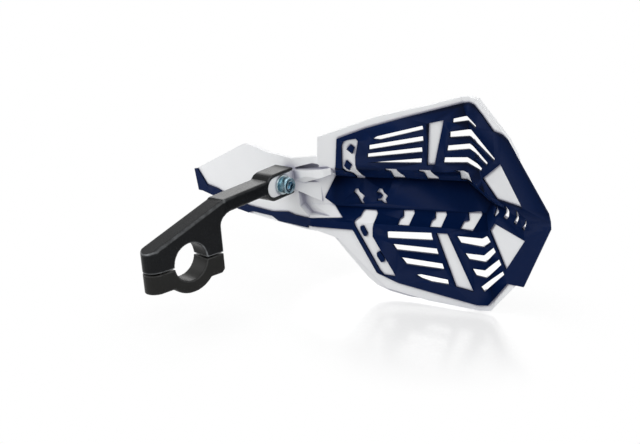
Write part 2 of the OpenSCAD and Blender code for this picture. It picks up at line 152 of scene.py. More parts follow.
class Shader:
    """One material with a Principled shader, built node by node."""

    EDGE_SAMPLES = 6
    HOLLOW_SAMPLES = 8
    EDGE_BAND = (0.02, 0.22)
    RIDGE_BAND = (0.504, 0.53)

    def __init__(self, name: str) -> None:
        """Starts an empty material.

        Args:
            name: The material's name.
        """
        self.material = bpy.data.materials.new(name)
        self.material.use_nodes = True
        self.tree = self.material.node_tree
        self.tree.nodes.clear()
        self.place = self.node("ShaderNodeTexCoord", {}, {}, "Object")

    def node(self, kind: str, settings: dict[str, object], inputs: dict, output: object = 0) -> Value:
        """Adds a node.

        Args:
            kind: The node's type.
            settings: Its properties, set first.
            inputs: Values, numbers or tuples by socket name or index.
            output: The name or index of the output that is wanted.

        Returns:
            The chosen output.
        """
        node = self.tree.nodes.new(kind)
        for key, value in settings.items():
            setattr(node, key, value)
        for key, value in inputs.items():
            if isinstance(value, Value):
                self.tree.links.new(value.socket, node.inputs[key])
            else:
                node.inputs[key].default_value = value
        return Value(self, node.outputs[output])

    def noise(
        self, size: float, detail: float = 2.0, roughness: float = 0.5, stretch: Sequence[float] = (1, 1, 1)
    ) -> Value:
        """Makes noise with features of about the given size.

        Args:
            size: Feature size in metres.
            detail: Octaves.
            roughness: Weight of the finer octaves.
            stretch: Scale along X, Y and Z.

        Returns:
            The noise, around 0.5.
        """
        spot = self.place
        if tuple(stretch) != (1, 1, 1):
            spot = self.node("ShaderNodeMapping", {}, {"Vector": spot, "Scale": tuple(stretch)})
        inputs = {"Vector": spot, "Scale": 1.0 / size, "Detail": detail, "Roughness": roughness}
        return self.node("ShaderNodeTexNoise", {}, inputs, "Fac")

    def mix(self, factor: Value, low: Sequence[float], high: Sequence[float]) -> Value:
        """Blends two colours.

        Args:
            factor: 0 for low and 1 for high.
            low: Linear RGB, or a value.
            high: Linear RGB, or a value.

        Returns:
            The blended colour.
        """
        ends = [c if isinstance(c, Value) else (*c, 1.0) for c in (low, high)]
        settings = {"data_type": "RGBA"}
        return self.node("ShaderNodeMix", settings, {0: factor, 6: ends[0], 7: ends[1]}, 2)

    def bump(self, height: Value, distance: float, strength: float, normal: Value | None = None) -> Value:
        """Turns a height into a normal.

        Args:
            height: The height field, 0 to 1.
            distance: Its depth in metres.
            strength: Share of the effect.
            normal: A normal to build on.

        Returns:
            The bent normal.
        """
        inputs = {"Height": height, "Distance": distance, "Strength": strength}
        if normal:
            inputs["Normal"] = normal
        return self.node("ShaderNodeBump", {}, inputs)

    def edges(self, radius: float) -> Value:
        """Finds the convex and concave edges of the mesh.

        Args:
            radius: Reach of the effect in metres.

        Returns:
            0 on flat faces, rising towards 1 on edges.
        """
        soft = self.node("ShaderNodeBevel", {"samples": self.EDGE_SAMPLES}, {"Radius": radius})
        hard = self.node("ShaderNodeNewGeometry", {}, {}, "Normal")
        dot = self.node("ShaderNodeVectorMath", {"operation": "DOT_PRODUCT"}, {0: soft, 1: hard}, "Value")
        return (1.0 - dot).band(*self.EDGE_BAND)

    def coordinate(self, axis: str) -> Value:
        """Returns the object coordinate along X, Y or Z, in metres."""
        return self.node("ShaderNodeSeparateXYZ", {}, {0: self.place}, axis)

    def ridges(self) -> Value:
        """Returns 0 on flat and hollow places, rising to 1 along convex edges."""
        return self.node("ShaderNodeNewGeometry", {}, {}, "Pointiness").band(*self.RIDGE_BAND)

    def hollows(self, reach: float) -> Value:
        """Finds creases and recesses.

        Args:
            reach: Distance within which other faces close a place in, in metres.

        Returns:
            0 in the open, rising towards 1 in a hollow.
        """
        settings = {"samples": self.HOLLOW_SAMPLES}
        open_air = self.node("ShaderNodeAmbientOcclusion", settings, {"Distance": reach}, "AO")
        return 1.0 - open_air.clamp()

    def finish(self, **sockets: object) -> bpy.types.Material:
        """Adds the Principled shader and the output.

        Args:
            sockets: Values by socket name, with underscores for spaces.

        Returns:
            The finished material.
        """
        inputs = {key.replace("_", " "): value for key, value in sockets.items()}
        surface = self.node("ShaderNodeBsdfPrincipled", {}, inputs)
        self.node_out(surface)
        return self.material

    def node_out(self, surface: Value) -> None:
        """Links a surface to the material's output."""
        out = self.tree.nodes.new("ShaderNodeOutputMaterial")
        self.tree.links.new(surface.socket, out.inputs["Surface"])


# Finishes


@dataclass(frozen=True)
class MouldedPlastic:
    """Injection-moulded plastic with a fine spark-eroded grain."""

    name: str
    colour: tuple[float, float, float]
    tint: tuple[float, float, float]
    # edge: lighter colour painted along edges as a highlight
    edge: tuple[float, float, float]
    # hollow: colour of the painted shade in hollows and creases
    hollow: tuple[float, float, float]
    roughness: float
    gloss: float = 0.4
    flow_size: float = 55 * MM
    flow_stretch: tuple[float, float, float] = (1.0, 1.0, 0.45)
    speck_size: float = 1.1 * MM
    patch_size: float = 12 * MM
    # reach of the painted edge highlight
    edge_highlight_reach: float = 0.6 * MM
    # reaches of the painted shade in recesses and in creases
    recess_reach: float = 9 * MM
    crease_reach: float = 1.8 * MM
    grain_size: float = 0.35 * MM
    grain_depth: float = 0.02 * MM
    wave_size: float = 20 * MM
    wave_depth: float = 0.2 * MM

    def build(self) -> bpy.types.Material:
        """Returns the material: flow-marked colour, smoother edges with a painted highlight, painted shade in hollows
        and creases, and grain.
        """
        shader = Shader(self.name)
        flow = shader.noise(self.flow_size, 3.0, 0.55, self.flow_stretch)
        speck = shader.noise(self.speck_size)
        base = shader.mix((0.75 * flow + 0.25 * speck).band(0.3, 0.72), self.colour, self.tint)
        # painted shade: darker, cooler colour in recesses and creases, found by ambient occlusion
        recess = shader.hollows(self.recess_reach).band(0.12, 0.8)
        crease = shader.hollows(self.crease_reach).band(0.08, 0.36)
        with_painted_shade = shader.mix((recess + 0.8 * crease).clamp(), base, self.hollow)
        # painted highlight: lighter colour along rounded edges, which are also made smoother
        edge_highlight = shader.edges(self.edge_highlight_reach)
        colour = shader.mix(0.6 * edge_highlight, with_painted_shade, self.edge)
        patch = shader.noise(self.patch_size, 3.0)
        rough = self.roughness + 0.1 * (patch - 0.5) + 0.05 * (speck - 0.5) - 0.08 * edge_highlight
        grain = shader.bump(shader.noise(self.grain_size, 3.0, 0.6), self.grain_depth, 0.55)
        normal = shader.bump(shader.noise(self.wave_size, 1.0), self.wave_depth, 0.25, grain)
        return shader.finish(Base_Color=colour, Roughness=rough, Normal=normal, Specular_IOR_Level=self.gloss)


@dataclass(frozen=True)
class AnodisedMetal:
    """Tumbled aluminium with a satin black anodised skin."""

    name: str
    colour: tuple[float, float, float]
    # edge: silvery colour painted along convex edges as a highlight
    edge: tuple[float, float, float]
    roughness: float
    gloss: float
    cloud_size: float = 20 * MM
    speck_size: float = 0.7 * MM
    # patch size, end and fade of the painted edge highlight
    highlight_patch_size: float = 4 * MM
    highlight_end: float = 36 * MM
    highlight_fade: float = 120.0
    grain_size: float = 0.45 * MM
    grain_depth: float = 0.03 * MM

    def build(self) -> bpy.types.Material:
        """Returns the material: deep colour, a silvery painted highlight along convex edges that is strongest at the
        clamp end, and a tumbled grain.
        """
        shader = Shader(self.name)
        cloud = shader.noise(self.cloud_size, 4.0, 0.6)
        speck = shader.noise(self.speck_size, 2.0, 0.7)
        lighter = tuple(1.5 * channel for channel in self.colour)
        base = shader.mix((0.6 * cloud + 0.4 * speck).band(0.25, 0.8), self.colour, lighter)
        # painted highlight along convex edges: full at low Y, fading beyond a set Y, and patchy
        highlight_falloff = 0.25 + 0.75 * (self.highlight_fade * (self.highlight_end - shader.coordinate("Y"))).clamp()
        patchy = 0.45 + 0.55 * shader.noise(self.highlight_patch_size, 3.0).band(0.35, 0.7)
        edge_highlight = shader.ridges() * highlight_falloff * patchy
        colour = shader.mix(0.8 * edge_highlight, base, self.edge)
        rough = self.roughness + 0.14 * (cloud - 0.5) + 0.12 * (speck - 0.5)
        normal = shader.bump(shader.noise(self.grain_size, 3.0, 0.65), self.grain_depth, 0.6)
        return shader.finish(Base_Color=colour, Roughness=rough, Normal=normal, Specular_IOR_Level=self.gloss)


@dataclass(frozen=True)
class PlatedSteel:
    """Steel with a plated skin that shimmers between two tints."""

    name: str
    colour: tuple[float, float, float]
    shimmer: tuple[float, float, float]
    # rim: bright colour painted on edges as a highlight
    rim: tuple[float, float, float]
    # hollow: colour of the painted shade in hollows, a deep blue on the zinc
    hollow: tuple[float, float, float]
    roughness: float
    cloud_size: float = 3.5 * MM
    # reaches of the painted shade in hollows and of the painted highlight on rims
    recess_reach: float = 2.5 * MM
    rim_highlight_reach: float = 1 * MM
    patch_size: float = 1.6 * MM
    mark_size: float = 0.3 * MM
    mark_depth: float = 0.012 * MM

    def build(self) -> bpy.types.Material:
        """Returns the material: cloudy tint, a painted highlight on rims, a deep-coloured painted shade in hollows and
        fine turning marks.
        """
        shader = Shader(self.name)
        cloud = shader.noise(self.cloud_size, 3.0, 0.6)
        outside = shader.mix(cloud.band(0.35, 0.68), self.colour, self.shimmer)
        # painted shade: hollows take the darker hollow colour
        body = shader.mix(shader.hollows(self.recess_reach).band(0.3, 0.8), outside, self.hollow)
        # painted highlight: edges take the bright rim colour
        colour = shader.mix(0.95 * shader.edges(self.rim_highlight_reach), body, self.rim)
        marks = shader.noise(self.mark_size)
        rough = self.roughness + 0.16 * (shader.noise(self.patch_size, 3.0) - 0.4) + 0.1 * (marks - 0.5)
        normal = shader.bump(marks, self.mark_depth, 0.5)
        return shader.finish(Base_Color=colour, Roughness=rough, Normal=normal, Metallic=1.0)


@dataclass(frozen=True)
class Finishes:
    """Every finish on the guard."""

    # each edge colour is a painted highlight along edges, each rim colour a painted highlight on rims, each hollow
    # colour a painted shade in hollows
    white: MouldedPlastic = MouldedPlastic(
        "white_moulding", colour=(0.81, 0.82, 0.835), tint=(0.85, 0.858, 0.87), edge=(0.9, 0.91, 0.93),
        hollow=(0.4, 0.4, 0.48), roughness=0.42,
    )
    blue: MouldedPlastic = MouldedPlastic(
        "navy_moulding", colour=(0.0008, 0.008, 0.043), tint=(0.0012, 0.0098, 0.052), edge=(0.005, 0.022, 0.085),
        hollow=(0.0004, 0.003, 0.016), roughness=0.42, gloss=0.05,
    )
    black: AnodisedMetal = AnodisedMetal(
        "black_anodised_arm", colour=(0.0062, 0.0068, 0.0076), edge=(0.24, 0.25, 0.26), roughness=0.25, gloss=0.1
    )
    cap: AnodisedMetal = AnodisedMetal(
        "black_anodised_cap", colour=(0.0125, 0.0127, 0.012), edge=(0.06, 0.06, 0.06), roughness=0.36, gloss=0.12
    )
    zinc: PlatedSteel = PlatedSteel(
        "blue_white_zinc", colour=(0.1, 0.2, 0.25), shimmer=(0.3, 0.42, 0.48), rim=(0.86, 0.93, 0.98),
        hollow=(0.03, 0.14, 0.34), roughness=0.2,
    )
    washer_zinc: PlatedSteel = PlatedSteel(
        "washer_zinc", colour=(0.42, 0.56, 0.56), shimmer=(0.86, 0.93, 0.94), rim=(0.9, 0.95, 0.96),
        hollow=(0.2, 0.28, 0.3), roughness=0.22,
    )
    steel: PlatedSteel = PlatedSteel(
        "plain_steel", colour=(0.5, 0.51, 0.53), shimmer=(0.62, 0.62, 0.62), rim=(0.7, 0.7, 0.71),
        hollow=(0.2, 0.2, 0.21), roughness=0.3,
    )


# Modelling helpers


def select_only(piece: bpy.types.Object) -> None:
    """Makes a piece the only selected and the active one.

    Args:
        piece: The object to select.
    """
    for other in bpy.context.view_layer.objects:
        other.select_set(False)
    piece.select_set(True)
    bpy.context.view_layer.objects.active = piece


def apply_modifier(piece: bpy.types.Object, kind: str, **settings: object) -> None:
    """Adds a modifier and applies it.

    Args:
        piece: The object to change.
        kind: The modifier's type.
        settings: Its properties.
    """
    select_only(piece)
    modifier = piece.modifiers.new(kind.lower(), kind)
    for key, value in settings.items():
        setattr(modifier, key, value)
    bpy.ops.object.modifier_apply(modifier=modifier.name)


def weld(piece: bpy.types.Object, distance: float) -> None:
    """Merges vertices that lie close together.

    Args:
        piece: The object to change.
        distance: Largest distance between merged vertices in metres.
    """
    select_only(piece)
    bpy.ops.object.mode_set(mode="EDIT")
    bpy.ops.mesh.select_all(action="SELECT")
    bpy.ops.mesh.remove_doubles(threshold=distance)
    bpy.ops.object.mode_set(mode="OBJECT")


def face_outward(piece: bpy.types.Object) -> None:
    """Makes all faces of a piece agree, outward where it is closed.

    Args:
        piece: The object to change.
    """
    select_only(piece)
    bpy.ops.object.mode_set(mode="EDIT")
    bpy.ops.mesh.select_all(action="SELECT")
    bpy.ops.mesh.normals_make_consistent(inside=False)
    bpy.ops.object.mode_set(mode="OBJECT")


def combine(piece: bpy.types.Object, operation: str, other: bpy.types.Object) -> None:
    """Joins, cuts or overlaps a piece with another one, which is used up.

    Args:
        piece: The object to change.
        operation: UNION, DIFFERENCE or INTERSECT.
        other: The object that it meets.
    """
    apply_modifier(piece, "BOOLEAN", operation=operation, object=other, solver="EXACT")
    bpy.data.objects.remove(other)


def select_faces(piece: bpy.types.Object, wanted: Iterable[int]) -> None:
    """Selects faces by index, in edit mode's face mode.

    Args:
        piece: The object in object mode; it is left in edit mode.
        wanted: Indices of the faces.
    """
    select_only(piece)
    bpy.ops.object.mode_set(mode="EDIT")
    bpy.ops.mesh.select_mode(type="FACE")
    bpy.ops.mesh.select_all(action="DESELECT")
    bpy.ops.object.mode_set(mode="OBJECT")
    for index in wanted:
        piece.data.polygons[index].select = True
    bpy.ops.object.mode_set(mode="EDIT")


def place(piece: bpy.types.Object, matrix: Matrix) -> None:
    """Moves a piece's mesh, and leaves its object at the origin.

    Args:
        piece: The object to place.
        matrix: The pose that its mesh takes.
    """
    piece.matrix_world = matrix @ piece.matrix_world
    select_only(piece)
    bpy.ops.object.transform_apply(location=True, rotation=True, scale=True)


def cylinder(sides: int, radius: float, low: float, high: float) -> bpy.types.Object:
    """Makes an upright cylinder or prism on the Z axis.

    Args:
        sides: Number of its sides.
        radius: Radius of its corners in metres.
        low: Height of its lower end in metres.
        high: Height of its upper end in metres.

    Returns:
        The cylinder, with its object at the origin.
    """
    bpy.ops.object.select_all(action="DESELECT")
    bpy.ops.mesh.primitive_cylinder_add(
        vertices=sides, radius=radius, depth=high - low, location=(0, 0, (low + high) / 2)
    )
    piece = bpy.context.object
    place(piece, Matrix.Identity(4))
    return piece


def hexagon_radius(flats: float) -> float:
    """Returns the corner radius of a hexagon with the given width across flats."""
    return flats / 2 / math.cos(math.pi / 6)


def merged_copy(node: str, name: str) -> bpy.types.Object:
    """Copies a CAD node's mesh and closes it.

    Args:
        node: The CAD node.
        name: The new piece's name.

    Returns:
        The new piece.
    """
    piece = bpy.data.objects.new(name, frame["nodes"][node].data.copy())
    bpy.context.scene.collection.objects.link(piece)
    piece.data.materials.clear()
    weld(piece, CAD_WELD)
    return piece


def round_edges(piece: bpy.types.Object, edge: float, angle: float = 24.0) -> None:
    """Rounds a piece's edges and smooths its shading.

    Args:
        piece: The piece to finish.
        edge: Width of the rounding in metres.
        angle: Smallest edge angle that is rounded, in degrees.
    """
    apply_modifier(piece, "TRIANGULATE", quad_method="BEAUTY", ngon_method="BEAUTY")
    apply_modifier(
        piece, "BEVEL", width=edge, segments=2, limit_method="ANGLE",
        angle_limit=math.radians(angle), miter_outer="MITER_ARC", use_clamp_overlap=True,
    )
    select_only(piece)
    bpy.ops.object.shade_smooth_by_angle(angle=MOULDED_SMOOTH)
    apply_modifier(piece, "WEIGHTED_NORMAL", keep_sharp=True, weight=100)


def break_edges(piece: bpy.types.Object, angle: float) -> None:
    """Breaks a turned piece's edges and smooths its shading.

    Args:
        piece: The piece to finish.
        angle: Smallest edge angle that is broken, in degrees.
    """
    apply_modifier(
        piece, "BEVEL", width=TURNED_EDGE, segments=2, limit_method="ANGLE", angle_limit=math.radians(angle)
    )
    select_only(piece)
    bpy.ops.object.shade_smooth_by_angle(angle=TURNED_SMOOTH)


def round_corner(piece: bpy.types.Object, across: float, up: float, radius: float) -> None:
    """Rounds the straight edges that run along X through one place.

    Args:
        piece: The piece, in the shared frame.
        across: Y of the edge in metres.
        up: Z of the edge in metres.
        radius: Size of the round in metres.
    """
    select_only(piece)
    bpy.ops.object.mode_set(mode="EDIT")
    bpy.ops.mesh.select_mode(type="EDGE")
    bpy.ops.mesh.select_all(action="DESELECT")
    bpy.ops.object.mode_set(mode="OBJECT")
    near = 0.02 * MM
    corners = [v.index for v in piece.data.vertices if math.dist(v.co[1:], (across, up)) < near]
    for edge in piece.data.edges:
        edge.select = all(index in corners for index in edge.vertices)
    bpy.ops.object.mode_set(mode="EDIT")
    bpy.ops.mesh.bevel(offset=radius, segments=5, clamp_overlap=False)
    bpy.ops.object.mode_set(mode="OBJECT")


def soften(piece: bpy.types.Object, grain: float, rounds: int) -> None:
    """Rounds every edge as casting and tumbling do, by an even fine remesh.

    Args:
        piece: The piece to finish.
        grain: Size of the new faces in metres.
        rounds: Smoothing passes over them.
    """
    apply_modifier(piece, "REMESH", mode="VOXEL", voxel_size=grain, adaptivity=0.0)
    apply_modifier(piece, "SMOOTH", factor=0.5, iterations=rounds)
    select_only(piece)
    bpy.ops.object.shade_smooth()


def dress(piece: bpy.types.Object, material: bpy.types.Material, slot: Slot, *nodes: str) -> None:
    """Gives a piece its finish and its body, and hides the CAD nodes that it stands for.

    Args:
        piece: The finished piece.
        material: Its finish.
        slot: The record's material slot; not used.
        nodes: CAD nodes that it replaces.
    """
    piece.data.materials.clear()
    piece.data.materials.append(material)
    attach(piece, BODY)
    if nodes:
        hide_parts(*nodes)
    LOG.info("%s: %d faces", piece.name, len(piece.data.polygons))


# Fasteners


@dataclass
class CapScrew:
    """A knurled socket-cap screw along +Z, with the underside of its head at the origin."""

    name: str
    shank: float
    length: float
    head: float
    height: float
    hexagon: float
    thread: float
    knurls: int = 36
    knurl_depth: float = 0.035
    knurl_ends: tuple[float, float] = (0.3 * MM, 0.1 * MM)
    top_inset: float = 0.45 * MM
    top_rise: float = 0.4 * MM
    seat_inset: float = 0.2 * MM
    seat_rise: float = 0.25 * MM
    thread_depth: float = 0.09
    pitches: float = 6.0
    tip_inset: float = 0.1
    tip_rise: float = 0.05
    socket_share: float = 0.4
    socket_spare: float = 1 * MM
    drill_inset: float = 0.35 * MM
    drill_rise: float = 0.6 * MM
    drill_tip: float = 0.2

    def build(self) -> bpy.types.Object:
        """Returns the screw: a shank, a knurled and chamfered head, and its hexagon socket."""
        piece = self.turned_body()
        self.knurl(piece)
        self.socket(piece)
        break_edges(piece, 40.0)
        return piece

    def profile(self) -> list[tuple[float, float]]:
        """Returns the turned profile as radius and height, from the head's top edge to the shank's end."""
        head, shank = self.head / 2, self.shank / 2
        steps = [(head, -self.height + self.top_rise), (head, -self.seat_rise), (head - self.seat_inset, 0.0)]
        steps += [(shank, 0.0), (shank, self.length - self.thread)]
        pitch = self.shank / self.pitches
        turns = int(self.thread / pitch)
        for turn in range(turns):
            at = self.length - (turns - turn) * pitch
            steps += [(shank - self.thread_depth * self.shank, at + pitch / 2), (shank, at + pitch)]
        return steps + [(shank - self.tip_inset * self.shank, self.length + self.tip_rise * self.shank)]

    def turned_body(self) -> bpy.types.Object:
        """Returns the turned body, made by extruding one circle through its profile."""
        radius, level = self.head / 2 - self.top_inset, -self.height
        bpy.ops.object.select_all(action="DESELECT")
        bpy.ops.mesh.primitive_circle_add(
            vertices=2 * self.knurls, radius=radius, fill_type="NGON", location=(0, 0, level)
        )
        piece = bpy.context.object
        piece.name = self.name
        bpy.ops.object.mode_set(mode="EDIT")
        bpy.ops.mesh.select_all(action="SELECT")
        for wide, high in self.profile():
            bpy.ops.mesh.extrude_region_move(TRANSFORM_OT_translate={"value": (0, 0, high - level)})
            ratio = wide / radius
            bpy.ops.transform.resize(value=(ratio, ratio, 1))
            level, radius = high, wide
        bpy.ops.object.mode_set(mode="OBJECT")
        weld(piece, 0.0001 * MM)
        face_outward(piece)
        place(piece, Matrix.Identity(4))
        return piece

    def knurl(self, piece: bpy.types.Object) -> None:
        """Presses a straight knurl into the head's side.

        Args:
            piece: The turned screw.
        """
        ratio = 1.0 - self.knurl_depth
        low, high = -self.height + self.knurl_ends[0], -self.knurl_ends[1]
        for vertex in piece.data.vertices:
            x, y, z = vertex.co
            around = round(math.atan2(y, x) / (math.pi / self.knurls))
            if low < z < high and around % 2:
                vertex.co = (ratio * x, ratio * y, z)

    def socket(self, piece: bpy.types.Object) -> None:
        """Cuts the hexagon socket, with the drill's cone at its bottom.

        Args:
            piece: The turned screw.
        """
        low, high = -self.height - self.socket_spare, -self.height + self.socket_share * self.height
        cutter = cylinder(6, hexagon_radius(self.hexagon), low, high)
        select_faces(cutter, [face.index for face in cutter.data.polygons if face.normal.z > 0.9])
        bpy.ops.mesh.inset(thickness=self.drill_inset)
        bpy.ops.mesh.extrude_region_move(TRANSFORM_OT_translate={"value": (0, 0, self.drill_rise)})
        bpy.ops.transform.resize(value=(self.drill_tip, self.drill_tip, 1))
        bpy.ops.object.mode_set(mode="OBJECT")
        combine(piece, "DIFFERENCE", cutter)


@dataclass
class LockNut:
    """A hexagon nut with a locking collar along +Z, seated at the origin."""

    name: str
    flats: float
    height: float
    bore: float
    hexagon_share: float = 0.7
    collar_share: float = 0.445
    chamfer: float = 0.75 * MM
    collar_round: float = 0.6 * MM
    collar_overlap: float = 0.4 * MM
    hexagon_weld: float = 0.06 * MM
    bore_weld: float = 0.02 * MM

    def build(self) -> bpy.types.Object:
        """Returns the nut: chamfered corners, a rolled collar and a bore."""
        body = self.hexagon_share * self.height
        piece = cylinder(6, hexagon_radius(self.flats), 0.0, body)
        piece.name = self.name
        combine(piece, "INTERSECT", self.cone(body))
        weld(piece, self.hexagon_weld)
        combine(piece, "UNION", self.collar(body))
        combine(piece, "DIFFERENCE", cylinder(40, self.bore / 2, -2 * self.height, 2 * self.height))
        weld(piece, self.bore_weld)
        break_edges(piece, 35.0)
        return piece

    def cone(self, body: float) -> bpy.types.Object:
        """Makes the double cone that chamfers the corners.

        Args:
            body: The hexagon's height in metres.

        Returns:
            The cone to overlap with the hexagon.
        """
        cone = cylinder(72, 1.02 * hexagon_radius(self.flats), 0.0, body)
        select_faces(cone, [face.index for face in cone.data.polygons if abs(face.normal.z) > 0.9])
        bpy.ops.mesh.bevel(offset=self.chamfer, segments=1)
        bpy.ops.object.mode_set(mode="OBJECT")
        return cone

    def collar(self, body: float) -> bpy.types.Object:
        """Makes the round collar that stands on the hexagon.

        Args:
            body: The hexagon's height in metres.

        Returns:
            The collar to join to the hexagon.
        """
        collar = cylinder(72, self.collar_share * self.flats, body - self.collar_overlap, self.height)
        select_faces(collar, [face.index for face in collar.data.polygons if face.normal.z > 0.9])
        bpy.ops.mesh.bevel(offset=self.collar_round, segments=3)
        bpy.ops.object.mode_set(mode="OBJECT")
        return collar


# Sub-assemblies


@dataclass
class MouldedGuard:
    """The white shell with its stepped lower lip, and the navy overmoulding on its rear."""

    shell_edge: float = 0.45 * MM
    grille_edge: float = 0.32 * MM
    origin: tuple[float, float, float] = (17.5 * MM, 89 * MM, 18.4 * MM)
    turn: tuple[float, float, float] = (5.0, -4.0, 16.0)
    channel: float = 17 * MM
    fold: float = 108 * MM
    edge_lean: float = math.tan(math.radians(10))
    fold_lean: float = math.tan(math.radians(27))
    louvre_depths: tuple[float, float] = (1.0 * MM, 4.8 * MM)
    widened_depths: tuple[float, float] = (0.9 * MM, 4.9 * MM)
    grille_depths: tuple[float, float] = (-1.0 * MM, 2.0 * MM)
    lip_depth: float = 2.7 * MM
    lip_wall: float = 1.2 * MM
    lip_edge: float = 0.5 * MM
    lip_angle: float = 40.0
    lip: tuple[tuple[float, float, float, float], ...] = (
        (4.4, -22.6, 2.0, -25.8), (16.6, -33.8, 13.4, -38.2), (26.2, -42.4, 25.2, -50.4), (32.6, -48.2, 31.0, -54.6),
        (39.4, -53.8, 39.8, -57.6), (52.8, -56.8, 52.2, -59.8), (66.6, -59.2, 68.6, -60.9), (85.6, -60.4, 85.2, -62.0),
        (98.6, -61.0, 99.6, -62.7), (104.0, -60.6, 105.0, -61.8),
    )
    relief: tuple[float, float] = (-2.8, -1.3)
    louvres: tuple[tuple[tuple[float, float], ...], ...] = (
        ((45, 36.5), (80, 44.5), (80, 46)),
        ((40.5, 30), (78, 36.5), (78.5, 39.5), (41.5, 33)),
        ((38, 25), (75.5, 29.5), (76, 32.5), (39, 27.5)),
        ((36.5, 21.5), (73, 22.5), (74, 25.5)),
        ((99, 48), (109, 49.5), (114, 46), (115, 48), (109.5, 52.5), (100, 50.5)),
        ((95, 39), (107, 40), (123, 28), (124, 30), (110, 44.5), (96, 42.5)),
        ((91, 30.5), (105, 32), (115.5, 23.5), (117, 26), (106.5, 35.5), (92.5, 34)),
        ((87, 23), (101.5, 23.5), (109, 18.5), (111, 21), (103, 27), (88.5, 26.5)),
        ((42, -25), (72.5, -24.5), (71.5, -20.5), (42, -22)),
        ((47.5, -31.5), (75.5, -32.5), (74.5, -29), (45, -28)),
        ((53.5, -39.5), (78.5, -41), (77.5, -37.5), (50, -35.5)),
        ((59, -45), (80.5, -49), (80, -47)),
        ((90, -25), (104, -26.5), (109.3, -23), (107, -20), (104, -21.5), (87.5, -21)),
        ((94.5, -34), (105, -35), (113, -27.5), (111.5, -25.5), (104.5, -31), (92, -30.5)),
        ((98.5, -43), (105, -44), (117, -33.5), (115.5, -31), (104.5, -39.5), (96, -39)),
        ((103, -52), (119, -38.5), (118, -37), (101, -49.5)),
    )
    widened: tuple[tuple[tuple[float, float], ...], ...] = (
        ((59.2, -45.3), (63, -47.2), (69.5, -48.8), (80.8, -49.6), (80.3, -46.6), (63.2, -44.7)),
        ((45.4, 37), (50, 36.7), (79.8, 43.6), (80, 46), (49, 38.9)),
        ((42, -23), (72, -23), (71.7, -20.1), (43.5, -20.8), (42, -21.6)),
    )
    finishes: Finishes = field(default_factory=Finishes)

    def build(self) -> None:
        """Builds and dresses both mouldings."""
        shell = merged_copy("shell", "guard_shell")
        for louvre in self.louvres:
            self.cut(shell, louvre, self.relief, self.louvre_depths)
        for louvre in self.widened:
            self.cut(shell, louvre, self.relief, self.widened_depths)
        round_edges(shell, self.shell_edge)
        white = self.finishes.white.build()
        dress(shell, white, Slot.WHITE, "shell")
        dress(self.stepped_lip(), white, Slot.WHITE)
        grille = merged_copy("grille", "overmoulded_grille")
        for louvre in self.widened:
            self.cut(grille, louvre, (0.0, 0.0), self.grille_depths)
        round_edges(grille, self.grille_edge)
        dress(grille, self.finishes.blue.build(), Slot.BLUE, "grille")

    def on_shield(self, along: float, up: float, depth: float) -> Vector:
        """Finds a point of the shield's lower half.

        Args:
            along: Distance along the shield from its inner end, in millimetres.
            up: Height above its middle line, in millimetres.
            depth: Depth below the overmoulding's surface in metres.

        Returns:
            The point in the frame.
        """
        along, up = along * MM, up * MM
        lean = (abs(up) - self.channel) * self.edge_lean
        sweep = max(0.0, along - self.fold) * self.fold_lean
        pose = Matrix.Translation(self.origin)
        for axis in (2, 1, 0):
            pose = pose @ Matrix.Rotation(math.radians(self.turn[axis]), 4, "XYZ"[axis])
        return pose @ Vector((along, depth - lean - sweep, up))

    def cut(
        self, piece: bpy.types.Object, outline: Sequence[tuple[float, float]], relief: tuple[float, float],
        depths: tuple[float, float],
    ) -> None:
        """Cuts one louvre through a piece, slanted so that air and light pass.

        Args:
            piece: The piece to cut.
            outline: The louvre's corners along and up the shield, in millimetres.
            relief: How far the far end lies along and up from the near end, in millimetres.
            depths: Depths of the near and the far end in metres.
        """
        cutter = cylinder(len(outline), 1.0, -0.5, 0.5)
        for vertex in cutter.data.vertices:
            turn = round(math.atan2(vertex.co.x, vertex.co.y) / (2 * math.pi) * len(outline)) % len(outline)
            far = vertex.co.z > 0
            along, up = outline[turn]
            if far:
                along, up = along + relief[0], up + relief[1]
            vertex.co = self.on_shield(along, up, depths[1] if far else depths[0])
        face_outward(cutter)
        combine(piece, "DIFFERENCE", cutter)

    def stepped_lip(self) -> bpy.types.Object:
        """Returns the thin lip under the shell's lower rim: a strip laid along its stations and given its wall."""
        bpy.ops.object.select_all(action="DESELECT")
        spans = len(self.lip) - 1
        bpy.ops.mesh.primitive_grid_add(x_subdivisions=spans, y_subdivisions=1, size=1.0)
        piece = bpy.context.object
        piece.name = "shell_lower_lip"
        for vertex in piece.data.vertices:
            station = self.lip[round((vertex.co.x + 0.5) * spans)]
            side = 2 if vertex.co.y > 0 else 0
            vertex.co = self.on_shield(station[side], station[side + 1], self.lip_depth)
        face_outward(piece)
        rearward = sum(face.normal.y * face.area for face in piece.data.polygons) < 0
        apply_modifier(piece, "SOLIDIFY", thickness=self.lip_wall, offset=-1.0 if rearward else 1.0)
        round_edges(piece, self.lip_edge, self.lip_angle)
        return piece


